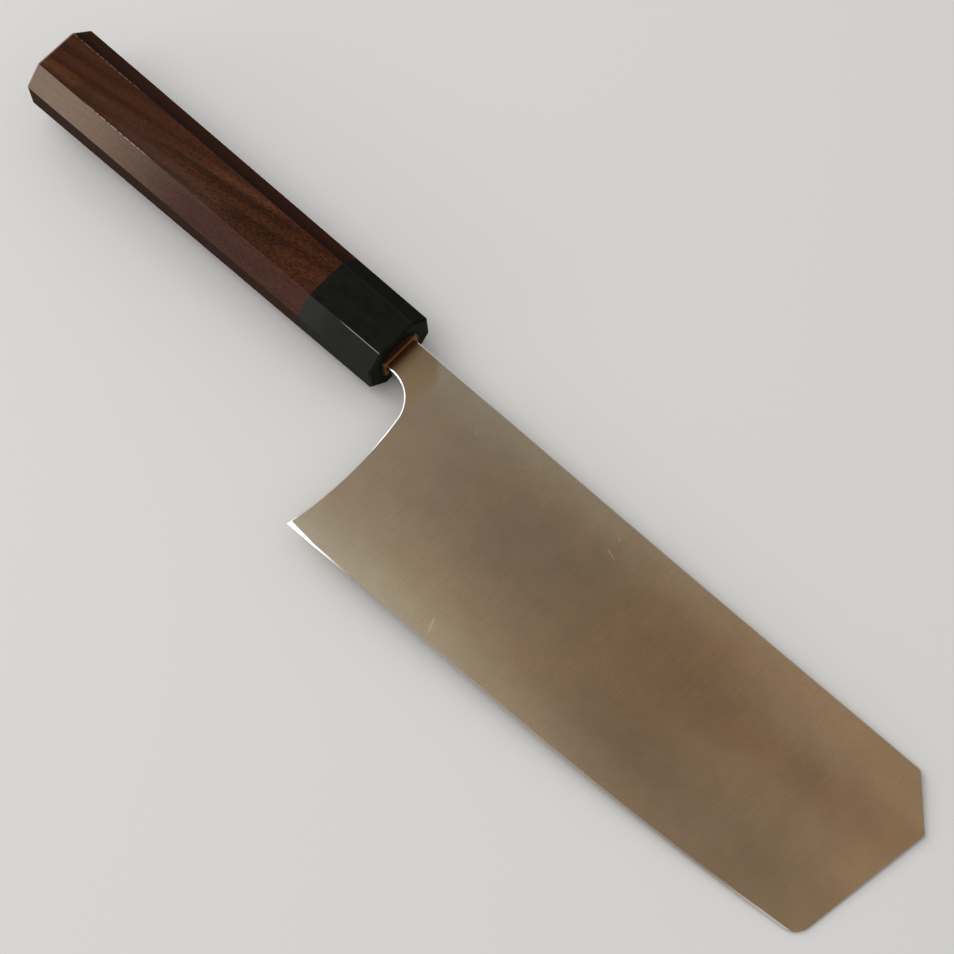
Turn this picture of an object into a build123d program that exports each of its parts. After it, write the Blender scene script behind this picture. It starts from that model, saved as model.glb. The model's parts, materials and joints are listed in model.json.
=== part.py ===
from build123d import *
import os
from math import atan, degrees

# Nakiri knife with an octagonal handle, all sizes in millimetres.
# The knife is drawn in its own frame: x runs forward from the ferrule's front,
# y towards the spine and z out of the blade's right side. Each finished piece
# is then laid down as the knife lies on a table, with the table at z = 0.

# Handle and ferrule, ground together to one tapered octagon
grip_length = 130.0
ferrule_length = 26.0
butt_height = 24.0
butt_thickness = 19.2
butt_bevel = 5.5
front_height = 22.2
facet_edge_round = 0.4
butt_edge_round = 0.9
ferrule_front_chamfer = 0.5

# Wooden core that joins the ferrule to the handle and holds the tang
core_height = 14.0
core_thickness = 11.0
core_length = 48.0
core_stand_out = 0.6
core_edge_round = 0.2
glue_gap = 0.1

# Neck and tang of the blade
neck_height = 10.8
neck_thickness = 3.0
neck_seat = 4.0
neck_length = 2.4
tang_length = 86.0
tang_shoulder = 0.4
tang_end_height = 5.6
tang_end_thickness = 2.2
tang_end_round = 2.0
tang_end_room = 2.0

# Blade outline, measured forward from the ferrule and down from the spine
nose_reach = 185.0
heel_setback = 12.0
heel_drop = 59.4
choil_setback = 12.8
choil_drop = 19.7
flat_edge_length = 73.0
flat_edge_rise = 1.35
nose_lean = 6.2
nose_corner_drop = 52.3
nose_corner_round = 5.0
clip_length = 11.7
clip_drop = 12.2
spine_hollow = 0.45

# Blade section: distal taper of the spine, and the wedge down to the edge
plunge_start = 4.5
plunge_end = 11.0
nose_thickness = 1.4
edge_shoulder_thickness = 0.4
edge_bevel_width = 0.45
heel_bevel_width = 1.3
heel_bevel_length = 9.0
edge_land = 0.06
spine_round = 0.35
choil_round = 0.45
cut_overrun = 2.0

spine = neck_height / 2
edge = spine - heel_drop


# Octagonal blank: a straight octagon whose eight facets are drafted inwards
butt_plane = Plane.YZ.offset(-grip_length)
ferrule_joint = Plane.YZ.offset(-ferrule_length)
facet_draft = degrees(atan((butt_height - front_height) / 2 / grip_length))
with BuildPart() as blank:
    with BuildSketch(butt_plane) as octagon:
        Rectangle(butt_height, butt_thickness)
        chamfer(octagon.vertices(), butt_bevel)
    extrude(amount=grip_length)
    draft(blank.faces().sort_by(Axis.X)[1:-1], butt_plane, facet_draft)
    chamfer(blank.faces().sort_by(Axis.X)[-1].edges(), ferrule_front_chamfer)
    fillet(blank.edges().sort_by(SortBy.LENGTH)[-8:], facet_edge_round)
    fillet(blank.faces().sort_by(Axis.X)[0].edges(), butt_edge_round)


# Room that the core and the tang need in the pieces they are glued into
with BuildPart() as core_room:
    with BuildSketch(Plane.YZ):
        SlotOverall(core_height + 2 * glue_gap, core_thickness + 2 * glue_gap)
    extrude(amount=-core_length - glue_gap)

core_front = Plane.YZ.offset(core_stand_out)
with BuildPart() as tang_room:
    with BuildSketch(core_front):
        Rectangle(neck_height + 2 * glue_gap, neck_thickness + 2 * glue_gap)
    extrude(amount=-core_stand_out - neck_seat - glue_gap)
    with BuildSketch(Plane.YZ.offset(-neck_seat)):
        Rectangle(
            neck_height - 2 * tang_shoulder + 2 * glue_gap,
            neck_thickness - 2 * tang_shoulder + 2 * glue_gap,
        )
    with BuildSketch(Plane.YZ.offset(-tang_length - tang_end_room)):
        Rectangle(tang_end_height + 2 * glue_gap, tang_end_thickness + 2 * glue_gap)
    loft(ruled=True)


# Ferrule: the front of the blank, bored for the core
with BuildPart() as ferrule:
    add(blank.part)
    split(bisect_by=ferrule_joint, keep=Keep.TOP)
    add(core_room.part, mode=Mode.SUBTRACT)


# Handle: the rest of the blank, bored for the core and then for the tang
with BuildPart() as handle:
    add(blank.part)
    split(bisect_by=ferrule_joint, keep=Keep.BOTTOM)
    add(core_room.part, mode=Mode.SUBTRACT)
    add(tang_room.part, mode=Mode.SUBTRACT)


# Core dowel: stands a little proud of the ferrule, slotted for neck and tang
with BuildPart() as core_dowel:
    with BuildSketch(core_front):
        SlotOverall(core_height, core_thickness)
    extrude(amount=-core_stand_out - core_length)
    fillet(core_dowel.faces().sort_by(Axis.X)[-1].edges(), core_edge_round)
    add(tang_room.part, mode=Mode.SUBTRACT)


def half_section(station, back_thickness, foot_thickness):
    """Right half of the blade's wedge at a station, run past the spine and the edge."""
    lean = (back_thickness - foot_thickness) / heel_drop * cut_overrun
    back = (back_thickness + lean) / 2
    foot = (foot_thickness - lean) / 2
    top = spine + cut_overrun
    bottom = edge - cut_overrun
    with BuildSketch(Plane.YZ.offset(station)) as section:
        with BuildLine():
            Polyline((top, back), (bottom, foot), (bottom, 0), (top, 0), close=True)
        make_face()
    return section.sketch


# Blade: the right half is ground and edged past the nose, the nose is cut off
# to its clipped shape, and the finished half is mirrored
nose_corner = Vector(nose_reach - nose_lean, spine - nose_corner_drop)
spine_start = Vector(-neck_seat, spine)
spine_end = Vector(nose_reach - clip_length, spine)
spine_pull = (spine_start + spine_end) / 2 - Vector(0, 2 * spine_hollow)
heel = Vector(heel_setback, edge)
flat_end = Vector(heel_setback + flat_edge_length, edge + flat_edge_rise)
along_edge = (flat_end - heel).normalized()
across_edge = along_edge.rotate(Axis.Z, 90)
neck_foot = (neck_length, -spine)
choil_end = (choil_setback, spine - choil_drop)


def ground_face_point(ahead, above):
    """Point of the right ground face, ahead of the heel and above the edge."""
    wedge_slope = (neck_thickness - edge_shoulder_thickness) / 2 / heel_drop
    out = Vector(0, 0, edge_shoulder_thickness / 2 + wedge_slope * above)
    return heel + along_edge * ahead + across_edge * above + out


with BuildPart() as blade:
    stations = [
        half_section(-neck_seat, neck_thickness, neck_thickness),
        half_section(plunge_start, neck_thickness, neck_thickness),
        half_section(plunge_end, neck_thickness, edge_shoulder_thickness),
        half_section(nose_reach + cut_overrun, nose_thickness, edge_shoulder_thickness),
    ]
    loft(stations, ruled=True)

    with BuildSketch(Plane.XY.offset(-cut_overrun)):
        with BuildLine():
            neck_arc = TangentArc(neck_foot, choil_end, tangent=(1, 0))
            TangentArc(choil_end, heel, tangent=neck_arc % 1)
            Line(heel, flat_end)
            edge_arc = TangentArc(flat_end, nose_corner, tangent=along_edge)
            edge_run = (edge_arc % 1) * (nose_reach + cut_overrun)
            Polyline(nose_corner, nose_corner + edge_run, (2 * nose_reach, spine), spine_end)
            Bezier(spine_end, spine_pull, spine_start)
            Polyline(spine_start, (-neck_seat, -spine), neck_foot)
        make_face()
    extrude(amount=cut_overrun + neck_thickness, mode=Mode.INTERSECT)

    ground_face = blade.faces().sort_by(SortBy.AREA)[-2:].sort_by(Axis.Z)[-1]
    chamfer(
        ground_face.edges().filter_by_position(Axis.Y, edge, spine - nose_corner_drop),
        edge_bevel_width,
        (edge_shoulder_thickness - edge_land) / 2,
        reference=ground_face,
    )

    with BuildSketch(Plane.XY.offset(-cut_overrun)) as nose_cut:
        with BuildLine():
            Polyline(
                nose_corner - edge_run,
                nose_corner,
                (nose_reach, spine - clip_drop),
                (nose_reach - 2 * clip_length, spine + clip_drop),
                (-neck_seat - cut_overrun, spine + clip_drop),
                close=True,
            )
        make_face()
        fillet(nose_cut.vertices().sort_by_distance(nose_corner)[0], nose_corner_round)
    extrude(amount=cut_overrun + neck_thickness, mode=Mode.INTERSECT)

    upper_edges = blade.edges().filter_by_position(Axis.Z, edge_shoulder_thickness, neck_thickness)
    upper_edges = upper_edges.filter_by(Axis.Z, reverse=True)
    fillet(upper_edges.filter_by_position(Axis.Y, spine - spine_hollow, spine), spine_round)
    behind_heel = upper_edges.filter_by_position(Axis.X, -neck_seat, heel_setback + heel_bevel_length)
    fillet(behind_heel.filter_by_position(Axis.Y, edge, -spine), choil_round)

    # The edge's bevel widens towards the heel, where one plane is ground off
    heel_edge = heel + Vector(0, 0, edge_land / 2)
    bevel_back = ground_face_point(0, heel_bevel_width)
    bevel_front = ground_face_point(heel_bevel_length, edge_bevel_width)
    heel_bevel = (bevel_front - heel_edge).cross(bevel_back - heel_edge)
    split(bisect_by=Plane(heel_edge, z_dir=heel_bevel), keep=Keep.BOTTOM)

    with BuildSketch(Plane.YZ.offset(-neck_seat)):
        Rectangle(
            neck_height - 2 * tang_shoulder,
            neck_thickness / 2 - tang_shoulder,
            align=(Align.CENTER, Align.MIN),
        )
    with BuildSketch(Plane.YZ.offset(-tang_length)):
        Rectangle(tang_end_height, tang_end_thickness / 2, align=(Align.CENTER, Align.MIN))
    loft(ruled=True)
    tang_end = blade.faces().sort_by(Axis.X)[0]
    fillet(tang_end.edges().filter_by(Axis.Z), tang_end_round)
    mirror(about=Plane.XY)


# Resting place: the knife lies on the ferrule's lower front corner and on the
# front of its nose, and the origin is on the table under its middle
lower_facet = ferrule.faces().sort_by(Axis.Z)[0]
ferrule_foot = lower_facet.vertices().sort_by(Axis.Y)[:2].sort_by(Axis.X)[-1]
nose_face = blade.faces().filter_by(GeomType.PLANE).sort_by(Axis.X)[-1]
nose_feet = nose_face.vertices().sort_by(Axis.Z)[:2].sort_by(Axis.Y)
foot = Vector(ferrule_foot)
up = (Vector(nose_feet[0]) - foot).cross(Vector(nose_feet[1]) - foot).normalized()
middle = Vector((nose_reach - grip_length) / 2, (butt_height / 2 + edge) / 2, 0)
under_middle = middle - up * (middle - foot).dot(up)
table = Plane(under_middle, x_dir=Axis.X.direction - up * up.X, z_dir=up)
resting = table.location.inverse()
blade.part.move(resting)
ferrule.part.move(resting)
handle.part.move(resting)
core_dowel.part.move(resting)


os.makedirs("parts", exist_ok=True)
blade.part.label = "blade"
export_step(blade.part, "parts/blade.step")
ferrule.part.label = "ferrule"
export_step(ferrule.part, "parts/ferrule.step")
handle.part.label = "handle"
export_step(handle.part, "parts/handle.step")
core_dowel.part.label = "core_dowel"
export_step(core_dowel.part, "parts/core_dowel.step")
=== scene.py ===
import json
from math import tau

import bpy
from mathutils import Matrix, Vector

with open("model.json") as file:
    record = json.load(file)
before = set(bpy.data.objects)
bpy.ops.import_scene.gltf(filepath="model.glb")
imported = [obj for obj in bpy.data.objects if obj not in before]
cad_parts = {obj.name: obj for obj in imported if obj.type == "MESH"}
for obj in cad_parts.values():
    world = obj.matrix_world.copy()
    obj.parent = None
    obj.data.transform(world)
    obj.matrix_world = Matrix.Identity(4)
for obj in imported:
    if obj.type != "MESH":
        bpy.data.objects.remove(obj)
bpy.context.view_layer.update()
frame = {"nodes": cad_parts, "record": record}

# The knife's own axes as it lies on the table, found from its mounts: forward
# to the nose, across to the spine and out of the blade's upper side, with
# millimetres counted from the middle of the ferrule's front
millimetre = 0.001
grip_length = 130.0
mounts = {mount["name"]: mount for mount in frame["record"]["mounts"]}
flat_facing = Vector(mounts["handle_flat"]["axis"])
knife_forward = -Vector(mounts["butt_end"]["axis"]).normalized()
knife_outward = (flat_facing - knife_forward * flat_facing.dot(knife_forward)).normalized()
knife_spineward = knife_outward.cross(knife_forward)
knife_turn = Matrix((knife_forward, knife_spineward, knife_outward)).transposed()
ferrule_front = Vector(mounts["butt_end"]["pos_m"]) + knife_forward * grip_length * millimetre

# Which sockets of a Mix node hold its two colours, and which gives the result
first_colour = 6
second_colour = 7
mixed_colour = 2


# Wiring helpers: each returns the socket that the next step reads
def feed(tree, socket, value):
    """Links a socket to another one, or sets it to a plain number or colour."""
    if isinstance(value, bpy.types.NodeSocket):
        tree.links.new(value, socket)
    else:
        socket.default_value = value


def number(tree, operation, *values):
    node = tree.nodes.new("ShaderNodeMath")
    node.operation = operation
    for socket, value in zip(node.inputs, values):
        feed(tree, socket, value)
    return node.outputs[0]


def chained(tree, operation, values):
    """One operation on several values, from the first to the last."""
    result = values[0]
    for value in values[1:]:
        result = number(tree, operation, result, value)
    return result


def total(tree, *values):
    return chained(tree, "ADD", values)


def product(tree, *values):
    return chained(tree, "MULTIPLY", values)


def strongest(tree, *values):
    return chained(tree, "MAXIMUM", values)


def difference(tree, value, taken_away):
    return number(tree, "SUBTRACT", value, taken_away)


def vector(tree, operation, *values):
    node = tree.nodes.new("ShaderNodeVectorMath")
    node.operation = operation
    for socket, value in zip(node.inputs, values):
        feed(tree, socket, value)
    if operation in ("DOT_PRODUCT", "DISTANCE"):
        return node.outputs["Value"]
    return node.outputs["Vector"]


def parts_of(tree, source):
    node = tree.nodes.new("ShaderNodeSeparateXYZ")
    feed(tree, node.inputs[0], source)
    return node.outputs


def combined(tree, x, y, z):
    node = tree.nodes.new("ShaderNodeCombineXYZ")
    for socket, value in zip(node.inputs, (x, y, z)):
        feed(tree, socket, value)
    return node.outputs[0]


def eased(tree, value, low, high, bottom=0.0, top=1.0):
    """Smooth step: bottom at low, top at high."""
    node = tree.nodes.new("ShaderNodeMapRange")
    node.interpolation_type = "SMOOTHSTEP"
    for socket, given in zip(node.inputs, (value, low, high, bottom, top)):
        feed(tree, socket, given)
    return node.outputs[0]


def mixed(tree, factor, first, second, kind="MIX"):
    node = tree.nodes.new("ShaderNodeMix")
    node.data_type = "RGBA"
    node.blend_type = kind
    feed(tree, node.inputs["Factor"], factor)
    feed(tree, node.inputs[first_colour], first)
    feed(tree, node.inputs[second_colour], second)
    return node.outputs[mixed_colour]


def shaded(tree, mask, tone, shade):
    """A colour multiplied by a shade where the mask says so."""
    return mixed(tree, mask, tone, shade, "MULTIPLY")


def dimmed(tree, tone, level):
    """A colour times a level."""
    return vector(tree, "MULTIPLY", tone, combined(tree, level, level, level))


def varied(tree, tone, mask, levels):
    """A colour times a level that runs from the first to the second as the mask fills."""
    return dimmed(tree, tone, eased(tree, mask, 0.0, 1.0, *levels))


def noise(tree, place, scale=1.0, detail=2.0, roughness=0.5, distortion=0.0):
    node = tree.nodes.new("ShaderNodeTexNoise")
    feed(tree, node.inputs["Vector"], place)
    feed(tree, node.inputs["Scale"], scale)
    feed(tree, node.inputs["Detail"], detail)
    feed(tree, node.inputs["Roughness"], roughness)
    feed(tree, node.inputs["Distortion"], distortion)
    return node.outputs[0]


def bumped(tree, height, strength, distance):
    node = tree.nodes.new("ShaderNodeBump")
    node.inputs["Strength"].default_value = strength
    node.inputs["Distance"].default_value = distance
    feed(tree, node.inputs["Height"], height)
    return node.outputs[0]


def new_group(name, inputs, outputs):
    """A shared effect: a node group with named inputs and outputs."""
    tree = bpy.data.node_groups.new(name, "ShaderNodeTree")
    for label, kind, default in inputs:
        socket = tree.interface.new_socket(label, in_out="INPUT", socket_type=kind)
        if default is not None:
            socket.default_value = default
    for label, kind in outputs:
        tree.interface.new_socket(label, in_out="OUTPUT", socket_type=kind)
    given = tree.nodes.new("NodeGroupInput")
    result = tree.nodes.new("NodeGroupOutput")
    return tree, given.outputs, result.inputs


def use_group(tree, group, **values):
    """Places a shared effect in a material, with its own values."""
    node = tree.nodes.new("ShaderNodeGroup")
    node.node_tree = group
    for label, value in values.items():
        feed(tree, node.inputs[label], value)
    return node.outputs


# Shared effects
def make_knife_axes():
    """Place in millimetres and surface direction, both in the knife's own axes."""
    tree, given, result = new_group(
        "knife_axes",
        [],
        [("Place", "NodeSocketVector"), ("Facing", "NodeSocketVector")],
    )
    coordinates = tree.nodes.new("ShaderNodeTexCoord")
    from_front = vector(tree, "SUBTRACT", coordinates.outputs["Object"], ferrule_front)
    axes = (knife_forward, knife_spineward, knife_outward)
    along = [vector(tree, "DOT_PRODUCT", from_front, axis) for axis in axes]
    in_millimetres = [number(tree, "DIVIDE", value, millimetre) for value in along]
    tree.links.new(combined(tree, *in_millimetres), result["Place"])
    normal = coordinates.outputs["Normal"]
    facing = [vector(tree, "DOT_PRODUCT", normal, axis) for axis in axes]
    tree.links.new(combined(tree, *facing), result["Facing"])
    return tree


def make_streaks():
    """Noise drawn out along one line, for wood grain and for brushing."""
    fineness = 0.6
    tree, given, result = new_group(
        "streaks",
        [
            ("Place", "NodeSocketVector", None),
            ("Density", "NodeSocketVector", (1.0, 1.0, 1.0)),
            ("Offset", "NodeSocketVector", (0.0, 0.0, 0.0)),
            ("Detail", "NodeSocketFloat", 3.0),
            ("Low", "NodeSocketFloat", 0.35),
            ("High", "NodeSocketFloat", 0.65),
        ],
        [("Value", "NodeSocketFloat")],
    )
    drawn = vector(tree, "MULTIPLY", given["Place"], given["Density"])
    shifted = vector(tree, "ADD", drawn, given["Offset"])
    grain = noise(tree, shifted, detail=given["Detail"], roughness=fineness)
    tree.links.new(eased(tree, grain, given["Low"], given["High"]), result["Value"])
    return tree


def make_stroke():
    """A soft stroke between two points, fading over the ends of its length."""
    fading_share = 0.25
    tree, given, result = new_group(
        "stroke",
        [
            ("Place", "NodeSocketVector", None),
            ("Start", "NodeSocketVector", (0.0, 0.0, 0.0)),
            ("End", "NodeSocketVector", (1.0, 0.0, 0.0)),
            ("Width", "NodeSocketFloat", 1.0),
        ],
        [("Value", "NodeSocketFloat")],
    )
    run = vector(tree, "SUBTRACT", given["End"], given["Start"])
    from_start = vector(tree, "SUBTRACT", given["Place"], given["Start"])
    done = vector(tree, "DOT_PRODUCT", from_start, run)
    share = number(tree, "DIVIDE", done, vector(tree, "DOT_PRODUCT", run, run))
    share = number(tree, "MINIMUM", strongest(tree, share, 0.0), 1.0)
    nearest = vector(tree, "MULTIPLY", run, combined(tree, share, share, share))
    aside = vector(tree, "DISTANCE", from_start, nearest)
    to_end = number(tree, "MINIMUM", share, difference(tree, 1.0, share))
    body = eased(tree, aside, given["Width"], 0.0)
    tree.links.new(product(tree, body, eased(tree, to_end, 0.0, fading_share)), result["Value"])
    return tree


def make_facets():
    """The octagon's facets and the eased rims between them, told by where they face."""
    facets_in_half_turn = 4.0
    on_rim = (0.35, 0.9)
    on_side = (0.6, 0.3)
    turned_from_side = (0.06, 0.3)
    turned_from_end = (0.98, 0.8)
    facing_spine = (0.2, 0.5)
    facing_edge = (-0.8, -0.95)
    facing_below = (-0.35, -0.55)
    masks = ("Rims", "End rim", "Spineward", "Edgeward", "Lower bevel")
    tree, given, result = new_group(
        "facets",
        [("Facing", "NodeSocketVector", None)],
        [(mask, "NodeSocketFloat") for mask in masks],
    )
    forward, across, outward = parts_of(tree, given["Facing"])

    # The sine is nothing in the middle of a facet and full midway between two
    angle = product(tree, number(tree, "ARCTAN2", outward, across), facets_in_half_turn)
    between_facets = number(tree, "ABSOLUTE", number(tree, "SINE", angle))
    end_on = number(tree, "ABSOLUTE", forward)
    rims = product(tree, eased(tree, between_facets, *on_rim), eased(tree, end_on, *on_side))
    tree.links.new(rims, result["Rims"])
    end_rim = product(
        tree, eased(tree, end_on, *turned_from_side), eased(tree, end_on, *turned_from_end)
    )
    tree.links.new(end_rim, result["End rim"])

    tree.links.new(eased(tree, across, *facing_spine), result["Spineward"])
    tree.links.new(eased(tree, across, *facing_edge), result["Edgeward"])
    lower_bevel = product(
        tree, eased(tree, across, *facing_below), eased(tree, across, *reversed(facing_edge))
    )
    tree.links.new(lower_bevel, result["Lower bevel"])
    return tree


knife_axes = make_knife_axes()
streaks = make_streaks()
stroke = make_stroke()
facets = make_facets()


def new_finish(name):
    """A material with an empty Principled shader, and the knife's axes in it."""
    material = bpy.data.materials.new(name)
    material.use_nodes = True
    tree = material.node_tree
    shader = next(node for node in tree.nodes if node.type == "BSDF_PRINCIPLED")
    axes = use_group(tree, knife_axes)
    return material, tree, shader.inputs, axes["Place"], axes["Facing"]


def streaked(tree, place, density, detail, contrast, offset=(0.0, 0.0, 0.0)):
    """Streaks with their own density per millimetre, detail and contrast."""
    low, high = contrast
    return use_group(
        tree,
        streaks,
        Place=place,
        Density=density,
        Offset=offset,
        Detail=detail,
        Low=low,
        High=high,
    )["Value"]


def strokes(tree, place, marks):
    """The strongest of several soft strokes, each with its own strength."""
    result = 0.0
    for start, end, width, strength in marks:
        mark = use_group(tree, stroke, Place=place, Start=start, End=end, Width=width)["Value"]
        result = strongest(tree, result, product(tree, mark, strength))
    return result


# In all the finishes, a pair of places is where an effect starts and where it
# is full, in millimetres forward from the ferrule or up towards the spine, and
# a stroke has a start, an end, a width and a strength
soft_contrast = (0.3, 0.7)

# How many finer layers a noise has
low_detail = 2.0
middle_detail = 3.0
high_detail = 4.0

# Ground face: cool grey near the heel and the spine, warm brown at the nose
cool_steel = (0.300, 0.257, 0.183, 1.0)
warm_steel = (0.440, 0.288, 0.159, 1.0)
cloud_density = 0.03
cloud_share = 0.4
warming_run = (0.0, 190.0)
warming_span = (0.1, 1.25)

# Ground face: painted reflections, darker zones along the middle, away from spine
# and nose, above the front half of the edge and behind the nose
middle_height = -19.0
middle_width = (22.0, 4.0)
middle_start = (5.0, 60.0)
middle_finish = (190.0, 150.0)
middle_painted_reflection = (0.76, 0.76, 0.76, 1.0)
inner_top = (9.0, -7.0)
inner_foot = (-54.0, -38.0)
inner_finish = (150.0, 110.0)
inner_painted_reflection = (0.81, 0.73, 0.69, 1.0)
above_edge_depth = (-22.0, -40.0)
above_edge_start = (35.0, 140.0)
above_edge_finish = (185.0, 155.0)
above_edge_left_at_nose = 0.5
above_edge_painted_reflection = (0.64, 0.66, 0.72, 1.0)
nose_reflection_clouds = (((104.0, -20.0, 1.0), (204.0, -10.0, 1.0), 10.0, 1.0),)
nose_painted_reflection = (0.93, 0.87, 0.86, 1.0)

# Neck: forged tone behind two slanted lines that meet where grinding starts, partly
# a painted reflection of the handle, and a painted reflection of the core wood by the ferrule
grind_corner_ahead = 13.6
grind_corner_height = 0.5
grind_line_slopes = (-0.944, 0.106)
grind_line_fade = (1.4, -1.4)
forged_and_reflected_steel = (0.250, 0.174, 0.103, 1.0)
core_reflection_run = (6.5, 0.5)
core_painted_reflection = (0.62, 0.50, 0.38, 1.0)

# Brushing and scratches on the blade
hairline_density = (6.0, 0.05, 0.4)
hairline_levels = (0.985, 1.0)
blotch_density = (0.12, 0.16, 0.2)
blotch_levels = (0.96, 1.02)
scratches = (
    ((77.6, -3.9, 1.0), (81.2, -5.0, 1.0), 0.35, 0.8),
    ((77.6, 0.4, 1.1), (78.6, -0.6, 1.1), 0.3, 0.5),
    ((57.8, -46.6, 0.35), (59.8, -51.5, 0.3), 0.55, 0.9),
    ((30.6, -2.0, 1.2), (31.4, -4.6, 1.2), 0.3, 0.5),
)
scratch_strength = 0.25
scratched_steel = (0.75, 0.64, 0.50, 1.0)

# Rounds and bevels of the blade, with painted highlights near the heel, the nose and on the
# choil, and painted shade on the edge bevel between them and on the choil
rounded_steel = (0.56, 0.48, 0.38, 1.0)
painted_highlight_steel = (0.90, 0.90, 0.90, 1.0)
bevel_painted_shade_steel = (0.24, 0.205, 0.165, 1.0)
choil_run_painted_shade_steel = (0.45, 0.42, 0.38, 1.0)
choil_wall_painted_shade_steel = (0.22, 0.19, 0.165, 1.0)
by_heel_run = (36.0, 18.0)
by_nose_run = (150.0, 172.0)
by_nose_highlight = 0.5
edge_bevel_depth = (-30.0, -40.0)
choil_reach = (17.0, 15.0)
choil_run_start = (-20.0, -28.0)
choil_run_end = (-53.0, -50.0)
choil_foot = (-53.0, -51.0)
choil_wall_top = (-4.0, -5.0)
choil_wall_flatness = (0.45, 0.25)
ground_flatness = (0.990, 0.997)

# Gloss of the blade
satin_roughness = 0.25
hairline_roughness = 0.03
scratch_roughness = 0.10
polished_roughness = 0.145
dull_bevel_roughness = 0.2
brushing_bump = 0.02
brushing_depth = 0.00001


def ground_face_tone(tree, place):
    """The blade's ground face, with its broad cool and warm zones and its painted reflections.
    """
    x, y, z = parts_of(tree, place)
    clouds = noise(tree, place, cloud_density, middle_detail)
    warmth = total(tree, eased(tree, x, *warming_run), product(tree, clouds, cloud_share))
    tone = mixed(tree, eased(tree, warmth, *warming_span), cool_steel, warm_steel)
    # Painted reflection: darker along the middle of the face
    middle = product(
        tree,
        eased(tree, number(tree, "ABSOLUTE", difference(tree, y, middle_height)), *middle_width),
        eased(tree, x, *middle_start),
        eased(tree, x, *middle_finish),
    )
    tone = shaded(tree, middle, tone, middle_painted_reflection)
    # Painted reflection: darker and browner away from the spine and the nose
    inner = product(
        tree,
        eased(tree, y, *inner_top),
        eased(tree, y, *inner_foot),
        eased(tree, x, *inner_finish),
    )
    tone = shaded(tree, inner, tone, inner_painted_reflection)
    # Painted reflection: darker and cooler above the front half of the edge
    above_edge = product(
        tree,
        eased(tree, y, *above_edge_depth),
        eased(tree, x, *above_edge_start),
        eased(tree, x, *above_edge_finish, above_edge_left_at_nose, 1.0),
    )
    tone = shaded(tree, above_edge, tone, above_edge_painted_reflection)
    # Painted reflection: a darker cloud behind the nose
    return shaded(tree, strokes(tree, place, nose_reflection_clouds), tone, nose_painted_reflection)


def with_neck(tree, place, tone, ground):
    """Gives the neck its forged tone, partly a painted reflection of the handle, darker still
    beside the wooden core as a painted reflection of it.
    """
    x, y, z = parts_of(tree, place)
    above_corner = difference(tree, y, grind_corner_height)
    grind_lines = [
        total(tree, product(tree, above_corner, slope), grind_corner_ahead)
        for slope in grind_line_slopes
    ]
    ahead = difference(tree, x, number(tree, "MINIMUM", *grind_lines))
    neck = eased(tree, ahead, *grind_line_fade)
    # Forged tone, partly a painted reflection of the handle
    tone = mixed(tree, product(tree, neck, ground), tone, forged_and_reflected_steel)
    # Painted reflection of the core wood: darker and browner near the ferrule
    return shaded(tree, eased(tree, x, *core_reflection_run), tone, core_painted_reflection)


def rounds_tone(tree, place, flatness):
    """Rounds with a bright polish, painted highlights near the heel and the nose, painted shade
    on the edge bevel between them, and a painted highlight and painted shade on the choil.
    """
    x, y, z = parts_of(tree, place)
    # Painted highlight on the rounds near the heel and the nose
    by_heel = eased(tree, x, *by_heel_run)
    by_nose = eased(tree, x, *by_nose_run, 0.0, by_nose_highlight)
    highlighted_ends = strongest(tree, by_heel, by_nose)
    on_bevel = eased(tree, y, *edge_bevel_depth)
    # Painted shade on the edge bevel between the highlights, which is also rougher there
    dull_and_shaded_bevel = product(tree, on_bevel, difference(tree, 1.0, highlighted_ends))
    tone = mixed(tree, highlighted_ends, rounded_steel, painted_highlight_steel)
    tone = mixed(tree, dull_and_shaded_bevel, tone, bevel_painted_shade_steel)

    # Painted highlight on the choil, with painted shade along the middle of its run
    choil_run = product(tree, eased(tree, y, *choil_run_start), eased(tree, y, *choil_run_end))
    choil_highlight_and_shade = mixed(tree, choil_run, painted_highlight_steel, choil_run_painted_shade_steel)
    on_choil = product(tree, eased(tree, x, *choil_reach), eased(tree, y, *choil_foot))
    tone = mixed(tree, on_choil, tone, choil_highlight_and_shade)
    # Painted shade on the steep walls of the choil near the heel
    choil_wall = product(
        tree,
        eased(tree, flatness, *choil_wall_flatness),
        eased(tree, y, *choil_wall_top),
        by_heel,
    )
    return mixed(tree, choil_wall, tone, choil_wall_painted_shade_steel), dull_and_shaded_bevel


def make_blade_steel():
    material, tree, shader, place, facing = new_finish("satin_steel")
    flatness = number(tree, "ABSOLUTE", parts_of(tree, facing)[2])
    ground = eased(tree, flatness, *ground_flatness)
    hairlines = streaked(tree, place, hairline_density, high_detail, soft_contrast)
    blotches = streaked(tree, place, blotch_density, high_detail, soft_contrast)
    scratched = strokes(tree, place, scratches)

    tone = with_neck(tree, place, ground_face_tone(tree, place), ground)
    tone = varied(tree, tone, hairlines, hairline_levels)
    tone = varied(tree, tone, blotches, blotch_levels)
    tone = mixed(tree, product(tree, scratched, scratch_strength), tone, scratched_steel)
    polished_and_highlighted, dull_and_shaded_bevel = rounds_tone(tree, place, flatness)
    feed(tree, shader["Base Color"], mixed(tree, ground, polished_and_highlighted, tone))

    satin = total(
        tree,
        satin_roughness,
        product(tree, hairlines, hairline_roughness),
        product(tree, scratched, scratch_roughness),
    )
    smooth = total(tree, polished_roughness, product(tree, dull_and_shaded_bevel, dull_bevel_roughness))
    on_ground = product(tree, satin, ground)
    on_rounds = product(tree, smooth, difference(tree, 1.0, ground))
    feed(tree, shader["Roughness"], total(tree, on_ground, on_rounds))
    shader["Metallic"].default_value = 1.0
    height = product(tree, hairlines, ground)
    feed(tree, shader["Normal"], bumped(tree, height, brushing_bump, brushing_depth))
    return material


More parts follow.
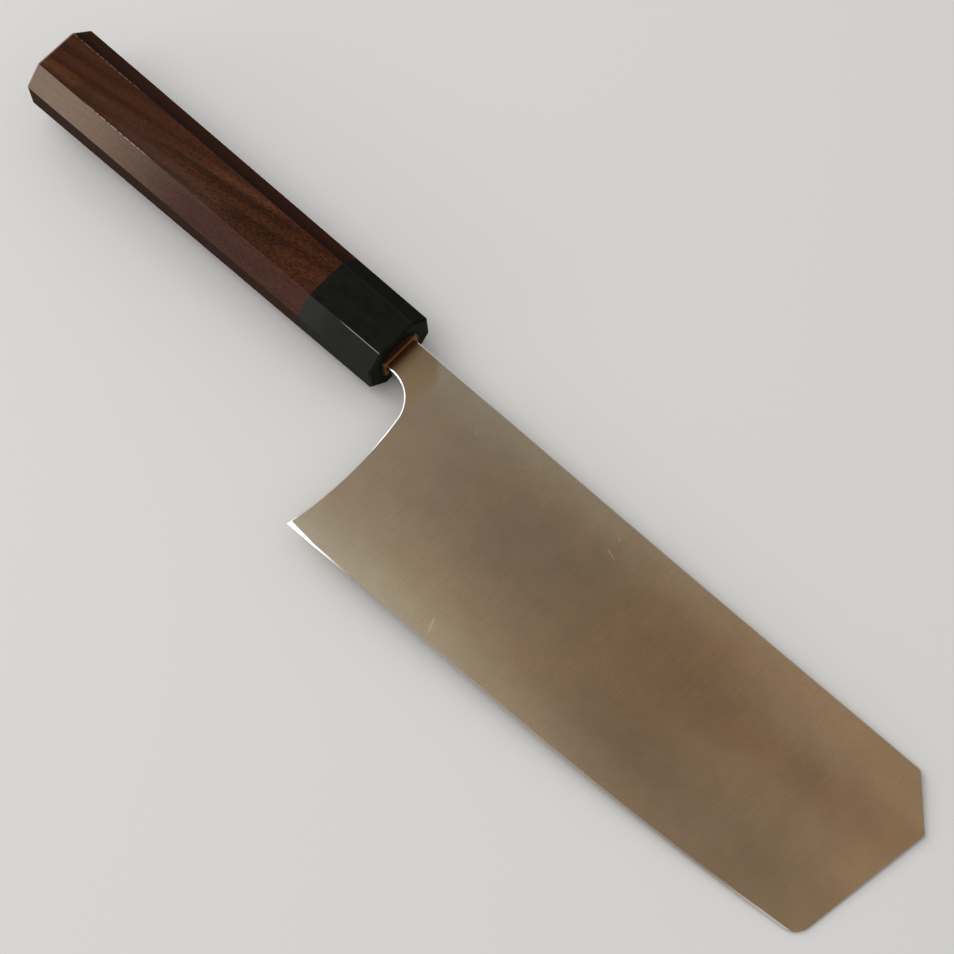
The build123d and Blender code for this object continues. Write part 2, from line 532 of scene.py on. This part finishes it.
# Rosewood: growth layers that climb across the flats towards the ferrule
grain_climb = 0.135
grain_dip = 0.45
flat_height = 9.2
band_spacing = 4.8
band_sway = 3.0
sway_density = (0.02, 0.18, 0.1)
broad_density = (0.018, 0.5, 0.3)
fine_density = (0.07, 2.2, 1.8)
fine_contrast = (0.32, 0.68)
fine_levels = (0.92, 1.07)
pore_density = (0.5, 4.5, 4.5)
pore_contrast = (0.58, 0.70)
pore_levels = (1.0, 0.75)
speck_density = (0.9, 3.4, 3.4)
speck_offset = (7.0, 3.0, 5.0)
speck_middle = 0.5

# Rosewood: tones, and the places where they lie
dark_wood = (0.031, 0.0145, 0.0078, 1.0)
middle_wood = (0.0475, 0.0168, 0.0088, 1.0)
light_wood = (0.066, 0.0238, 0.0125, 1.0)
pale_wood = (0.080, 0.0355, 0.0235, 1.0)
orange_wood = (0.100, 0.038, 0.0175, 1.0)
broad_share = 0.9
light_span = (0.1, 1.6)
dark_strength = 0.8
orange_patches = (
    ((-135.0, -5.0, 9.6), (-114.0, -3.4, 9.5), 2.6, 0.9),
    ((-76.0, 2.4, 9.2), (-44.0, 6.4, 9.1), 1.6, 0.8),
    ((-44.0, -4.5, 9.1), (-20.0, -1.0, 9.0), 4.0, 0.3),
)
pale_streaks = (
    ((-122.0, -4.6, 9.4), (-66.0, 1.4, 9.2), 2.2, 0.7),
    ((-108.0, -5.4, 9.4), (-54.0, -2.6, 9.1), 2.4, 0.9),
)
dark_streaks = (
    ((-130.0, 1.6, 9.6), (-104.0, 3.6, 9.4), 1.4, 0.4),
    ((-132.0, -5.9, 9.6), (-92.0, -1.8, 9.3), 0.8, 0.35),
    ((-98.0, -2.4, 9.3), (-40.0, 4.8, 9.0), 1.5, 0.9),
    ((-112.0, -6.6, 9.4), (-70.0, -5.4, 9.2), 0.9, 0.5),
    ((-64.0, -4.4, 9.1), (-38.0, -0.6, 9.0), 2.6, 0.8),
    ((-44.0, -5.4, 9.1), (-24.0, -2.8, 9.0), 1.5, 0.5),
)

# Rosewood: painted shade, deep red on the facets towards the spine and dark at the bottom edge,
# and a lower bevel with a painted sheen, paler towards the butt, that hands have also rubbed
# glossy
bottom_painted_shade = (0.022, 0.0060, 0.0022, 1.0)
bottom_shade_strength = 0.8
painted_red_shade_low = (0.013, 0.0026, 0.0008, 1.0)
painted_red_shade_high = (0.030, 0.0062, 0.0014, 1.0)
painted_red_shade_rise = (7.0, 10.5)
painted_red_shade_strength = 0.9
lower_bevel_painted_sheen = (0.086, 0.044, 0.037, 1.0)
lower_bevel_sheen_strength = 0.65
burnished_painted_sheen = (0.190, 0.115, 0.068, 1.0)
burnished_run = (-66.0, -122.0)
upper_side = (0.2, 0.4)
speckled_run = (-105.0, -50.0)
speckled_strength = (0.35, 0.9)
speckled_bevel = 0.5
redder_run = (-70.0, -35.0)
redder_shade = (1.0, 0.93, 0.89, 1.0)

# Rosewood: wear on the rims between the facets, with painted glints along parts of them and
# round the butt, and a painted sheen smudge below
worn_and_glint_wood = (0.42, 0.33, 0.27, 1.0)
worn_and_glint_rims = (
    ((-113.0, -6.4, 9.4), (-84.0, -6.4, 9.2), 1.2, 1.0),
    ((-138.0, 6.4, 9.5), (-98.0, 6.0, 9.3), 1.2, 0.6),
)
dash_density = (0.9, 0.3, 0.3)
dash_contrast = (0.40, 0.52)
light_wear = 0.06
butt_rim_glint_strength = 0.4
butt_rim_run = (-128.5, -129.5)
painted_sheen_smudge_wood = (0.110, 0.075, 0.062, 1.0)
painted_sheen_smudge_rims = (((-98.0, -6.6, 9.3), (-58.0, -6.6, 9.2), 2.0, 0.5),)
painted_sheen_smudge_strength = 0.5

# Gloss of the wood and of the horn: matt, with a thin sheen where it is rubbed
matt_specular = 0.01
rubbed_coat_roughness = 0.27
wood_roughness = 0.50
fine_gloss = -0.06
worn_gloss = -0.2
butt_rim_gloss = -0.12
least_coat = 0.01
rubbed_coat = 0.96
burnished_coat = 0.8
fine_height = 0.4
grain_bump = 0.12
grain_depth = 0.00006


def rosewood_layers(tree, place):
    """Place along the climbing growth layers, and the layers' light and dark bands."""
    x, y, z = parts_of(tree, place)
    sunk = product(tree, difference(tree, z, flat_height), grain_dip)
    climbed = product(tree, total(tree, x, grip_length), grain_climb)
    layer = difference(tree, total(tree, y, sunk), climbed)
    grain_place = combined(tree, x, layer, z)
    drawn = vector(tree, "MULTIPLY", grain_place, sway_density)
    sway = noise(tree, drawn, detail=middle_detail)
    swayed = total(tree, layer, product(tree, sway, band_sway), -band_sway / 2)
    wave = number(tree, "COSINE", product(tree, swayed, tau / band_spacing))
    return grain_place, eased(tree, wave, -1.0, 1.0)


def make_rosewood():
    material, tree, shader, place, facing = new_finish("oiled_rosewood")
    x, y, z = parts_of(tree, place)
    facet = use_group(tree, facets, Facing=facing)

    grain_place, bands = rosewood_layers(tree, place)
    broad = streaked(tree, grain_place, broad_density, middle_detail, soft_contrast)
    fine = streaked(tree, grain_place, fine_density, high_detail, fine_contrast)
    pores = streaked(tree, grain_place, pore_density, low_detail, pore_contrast)
    specks = streaked(
        tree, grain_place, speck_density, low_detail, soft_contrast, speck_offset
    )
    lightness = total(tree, bands, product(tree, broad, broad_share))
    tone = mixed(tree, eased(tree, lightness, *light_span), middle_wood, light_wood)
    tone = mixed(tree, strokes(tree, place, pale_streaks), tone, pale_wood)
    darkened = product(tree, strokes(tree, place, dark_streaks), dark_strength)
    tone = mixed(tree, darkened, tone, dark_wood)
    tone = mixed(tree, strokes(tree, place, orange_patches), tone, orange_wood)

    # Each facet has its own tone: painted shade on the facets towards the edge and the spine,
    # and a painted sheen on the lower bevel
    tone = mixed(tree, product(tree, facet["Edgeward"], bottom_shade_strength), tone, bottom_painted_shade)
    painted_red_shade = mixed(tree, eased(tree, y, *painted_red_shade_rise), painted_red_shade_low, painted_red_shade_high)
    tone = mixed(tree, product(tree, facet["Spineward"], painted_red_shade_strength), tone, painted_red_shade)
    lower_bevel = facet["Lower bevel"]
    # Painted sheen: the lower bevel paler and greyer
    tone = mixed(tree, product(tree, lower_bevel, lower_bevel_sheen_strength), tone, lower_bevel_painted_sheen)
    upward = eased(tree, parts_of(tree, facing)[2], *upper_side)
    # Painted sheen, paler still towards the butt; the same mask also gives it a rubbed coat
    burnished = product(tree, lower_bevel, upward, eased(tree, x, *burnished_run))
    tone = mixed(tree, burnished, tone, burnished_painted_sheen)

    # Fine grain, pores and specks, the lighter specks being painted glints in the pores, and a
    # redder front half
    tone = varied(tree, tone, fine, fine_levels)
    tone = varied(tree, tone, pores, pore_levels)
    speckle = product(
        tree,
        difference(tree, specks, speck_middle),
        eased(tree, x, *speckled_run, *speckled_strength),
        eased(tree, lower_bevel, 0.0, 1.0, 1.0, speckled_bevel),
    )
    tone = dimmed(tree, tone, total(tree, speckle, 1.0))
    tone = shaded(tree, eased(tree, x, *redder_run), tone, redder_shade)

    # Pale dashes where the rims are worn, partly painted glints, a painted glint on the rim
    # round the butt, and a painted sheen smudge along the lower rim
    # Painted sheen: a pale smudge along the lower rim
    smudge_of_sheen = product(tree, strokes(tree, place, painted_sheen_smudge_rims), painted_sheen_smudge_strength)
    tone = mixed(tree, smudge_of_sheen, tone, painted_sheen_smudge_wood)
    broken = noise(tree, vector(tree, "MULTIPLY", place, dash_density))
    dashes = eased(tree, broken, *dash_contrast)
    # Worn rims, glossier, with painted glints along them
    worn = product(tree, facet["Rims"], strokes(tree, place, worn_and_glint_rims), dashes)
    butt_rim = product(tree, facet["End rim"], eased(tree, x, *butt_rim_run))
    # Paler rims, with the painted glints and a painted glint on the butt rim
    wear = strongest(
        tree,
        product(tree, facet["Rims"], light_wear),
        worn,
        product(tree, butt_rim, butt_rim_glint_strength),
    )
    tone = mixed(tree, wear, tone, worn_and_glint_wood)
    feed(tree, shader["Base Color"], tone)

    roughness = total(
        tree,
        wood_roughness,
        product(tree, fine, fine_gloss),
        product(tree, worn, worn_gloss),
        product(tree, butt_rim, butt_rim_gloss),
    )
    feed(tree, shader["Roughness"], roughness)
    shader["Specular IOR Level"].default_value = matt_specular
    burnished_sheen = product(tree, burnished, total(tree, burnished_coat, speckle))
    rubbed = strongest(tree, burnished_sheen, worn, butt_rim)
    coat = total(tree, least_coat, product(tree, rubbed, rubbed_coat))
    feed(tree, shader["Coat Weight"], coat)
    shader["Coat Roughness"].default_value = rubbed_coat_roughness
    height = difference(tree, product(tree, fine, fine_height), pores)
    feed(tree, shader["Normal"], bumped(tree, height, grain_bump, grain_depth))
    return material


# Horn: near black with a faint green mottle and paler layers, painted shade on the facets
# towards the spine and a painted glint near the front
mottle_density = 0.22
mottle_fineness = 0.6
dark_mottle = (0.0080, 0.0086, 0.0060, 1.0)
light_mottle = (0.0124, 0.0130, 0.0099, 1.0)
layer_density = (0.08, 0.9, 0.9)
layer_contrast = (0.3, 0.75)
layer_horn = (0.015, 0.015, 0.013, 1.0)
layer_strength = 0.35
spine_side_painted_shade_horn = (0.0025, 0.0025, 0.0020, 1.0)
spine_side_shade_strength = 0.85
worn_and_glint_horn = (0.36, 0.36, 0.35, 1.0)
horn_light_wear = 0.04
ferrule_glint = (((-16.0, -6.3, 8.9), (3.0, -6.2, 8.8), 1.2, 1.0),)
painted_glint_strength = 0.9
glint_coat = 0.8
glint_gloss = 0.15
horn_roughness = (0.36, 0.44)
horn_rubbed_run = (-12.0, -26.0)
horn_rubbed_coat = (0.15, 0.30)
horn_bump = 0.04
horn_depth = 0.0002


def make_horn():
    material, tree, shader, place, facing = new_finish("dark_horn")
    x, y, z = parts_of(tree, place)
    facet = use_group(tree, facets, Facing=facing)
    mottle = noise(tree, place, mottle_density, high_detail, mottle_fineness)
    layers = streaked(tree, place, layer_density, middle_detail, layer_contrast)
    tone = mixed(tree, eased(tree, mottle, *soft_contrast), dark_mottle, light_mottle)
    tone = mixed(tree, product(tree, layers, layer_strength), tone, layer_horn)
    # Painted shade: the facets towards the spine are darker
    spineward = product(tree, facet["Spineward"], spine_side_shade_strength)
    tone = mixed(tree, spineward, tone, spine_side_painted_shade_horn)
    # Painted glint along the front of the lower rim, which is also glossier
    glint = product(tree, facet["Rims"], strokes(tree, place, ferrule_glint))
    light_rims = product(tree, facet["Rims"], horn_light_wear)
    wear = strongest(tree, light_rims, product(tree, glint, painted_glint_strength))
    feed(tree, shader["Base Color"], mixed(tree, wear, tone, worn_and_glint_horn))

    plain_roughness = eased(tree, mottle, *soft_contrast, *horn_roughness)
    roughness = difference(tree, plain_roughness, product(tree, glint, glint_gloss))
    feed(tree, shader["Roughness"], roughness)
    shader["Specular IOR Level"].default_value = matt_specular
    rubbed_strength = eased(tree, x, *horn_rubbed_run, *horn_rubbed_coat)
    rubbed = product(tree, facet["Lower bevel"], rubbed_strength)
    coat = strongest(tree, rubbed, product(tree, glint, glint_coat))
    feed(tree, shader["Coat Weight"], coat)
    shader["Coat Roughness"].default_value = rubbed_coat_roughness
    feed(tree, shader["Normal"], bumped(tree, mottle, horn_bump, horn_depth))
    return material


# Core wood: orange-brown, darker towards the ferrule and in a thin line at the neck
ring_density = (0.05, 0.9, 0.5)
ring_distortion = 0.4
dark_core = (0.17, 0.058, 0.014, 1.0)
light_core = (0.34, 0.125, 0.034, 1.0)
core_pore_density = (0.3, 3.0, 3.0)
core_pore_contrast = (0.5, 0.7)
core_pore_levels = (1.0, 0.6)
neck_side = 1.6
neck_end = 5.3
neck_end_weight = 2.0
darkening_waver = 0.5
darkening_outside = (1.2, 2.3)
darkening_at_neck = (0.15, 0.0)
darker_core_wood = (0.012, 0.006, 0.0035, 1.0)
darkening_strength = 0.95
core_roughness = (0.5, 0.62)
core_specular = 0.1
core_bump = 0.2
core_depth = 0.0001


def make_core_wood():
    material, tree, shader, place, facing = new_finish("core_wood")
    x, y, z = parts_of(tree, place)
    drawn_rings = vector(tree, "MULTIPLY", place, ring_density)
    rings = noise(tree, drawn_rings, detail=middle_detail, distortion=ring_distortion)
    pores = streaked(tree, place, core_pore_density, low_detail, core_pore_contrast)
    tone = varied(tree, mixed(tree, rings, dark_core, light_core), pores, core_pore_levels)

    beside_neck = difference(tree, number(tree, "ABSOLUTE", z), neck_side)
    beyond_neck = difference(tree, number(tree, "ABSOLUTE", y), neck_end)
    beyond_neck = product(tree, beyond_neck, neck_end_weight)
    waver = product(tree, rings, darkening_waver)
    from_neck = total(tree, strongest(tree, beside_neck, beyond_neck), waver, -darkening_waver / 2)
    outside = eased(tree, from_neck, *darkening_outside)
    at_neck = eased(tree, from_neck, *darkening_at_neck)
    core_darkening = product(tree, strongest(tree, outside, at_neck), darkening_strength)
    feed(tree, shader["Base Color"], mixed(tree, core_darkening, tone, darker_core_wood))

    feed(tree, shader["Roughness"], eased(tree, rings, *soft_contrast, *core_roughness))
    shader["Specular IOR Level"].default_value = core_specular
    feed(tree, shader["Normal"], bumped(tree, rings, core_bump, core_depth))
    return material


def dress(node, material):
    """Gives a CAD piece its finish."""
    slots = frame["nodes"][node].data.materials
    slots.clear()
    slots.append(material)


dress("blade", make_blade_steel())
dress("handle", make_rosewood())
dress("ferrule", make_horn())
dress("core_dowel", make_core_wood())

# Studio: a pale table, an even room and three soft lamps, each with a direction
# in the knife's own axes, a size in metres and a power in watts
table_reach = 4.0
table_drop = 0.0002
table_colour = (0.80, 0.79, 0.77, 1.0)
table_roughness = 0.7
lamp_distance = 1.6
lamps = (
    ("top_lamp", (-0.31, -0.27, 0.91), (1.2, 1.2), 6.4),
    ("side_lamp", (-0.47, -0.86, 0.23), (1.0, 0.6), 2.9),
    ("back_lamp", (-0.86, 0.05, 0.5), (1.2, 1.0), 5.4),
)
room_level = 0.5


def make_table_top():
    mesh = bpy.data.meshes.new("table_top")
    sides = ((-1, -1), (1, -1), (1, 1), (-1, 1))
    corners = [(x * table_reach, y * table_reach, -table_drop) for x, y in sides]
    mesh.from_pydata(corners, [], [range(len(corners))])
    table = bpy.data.objects.new("table_top", mesh)
    bpy.context.scene.collection.objects.link(table)
    material = bpy.data.materials.new("pale_table")
    material.use_nodes = True
    nodes = material.node_tree.nodes
    shader = next(node for node in nodes if node.type == "BSDF_PRINCIPLED").inputs
    shader["Base Color"].default_value = table_colour
    shader["Roughness"].default_value = table_roughness
    mesh.materials.append(material)


def add_soft_lamp(name, toward, size, power):
    """A soft lamp that shines at the origin, from a direction in the knife's own axes."""
    lamp = bpy.data.lights.new(name, "AREA")
    lamp.shape = "RECTANGLE"
    lamp.size, lamp.size_y = size
    lamp.energy = power
    holder = bpy.data.objects.new(name, lamp)
    from_origin = knife_turn @ Vector(toward).normalized()
    holder.location = from_origin * lamp_distance
    holder.rotation_euler = from_origin.to_track_quat("Z", "Y").to_euler()
    holder.visible_camera = False
    bpy.context.scene.collection.objects.link(holder)


def light_the_room(level):
    """Even, plain surroundings."""
    world = bpy.data.worlds.new("studio")
    world.use_nodes = True
    background = next(node for node in world.node_tree.nodes if node.type == "BACKGROUND")
    background.inputs["Color"].default_value = (level, level, level, 1.0)
    background.inputs["Strength"].default_value = 1.0
    bpy.context.scene.world = world


make_table_top()
for name, toward, size, power in lamps:
    add_soft_lamp(name, toward, size, power)
light_the_room(room_level)

# Camera: a long lens above the nose and the edge, in the knife's own axes
camera_place = (274.17, -210.91, 722.36)
camera_right = (0.72377, 0.68854, -0.04554)
camera_up = (-0.62179, 0.67938, 0.38965)
focal_length = 115.21
sensor_width = 36.0


def place_camera():
    lens = bpy.data.cameras.new("photo_camera")
    lens.sensor_width = sensor_width
    lens.lens = focal_length
    holder = bpy.data.objects.new("photo_camera", lens)
    right = (knife_turn @ Vector(camera_right)).normalized()
    back = right.cross(knife_turn @ Vector(camera_up)).normalized()
    turn = Matrix((right, back.cross(right), back)).transposed()
    place = ferrule_front + knife_turn @ (Vector(camera_place) * millimetre)
    holder.matrix_world = Matrix.Translation(place) @ turn.to_4x4()
    bpy.context.scene.collection.objects.link(holder)
    bpy.context.scene.camera = holder


place_camera()
bpy.context.scene.view_settings.view_transform = "Standard"
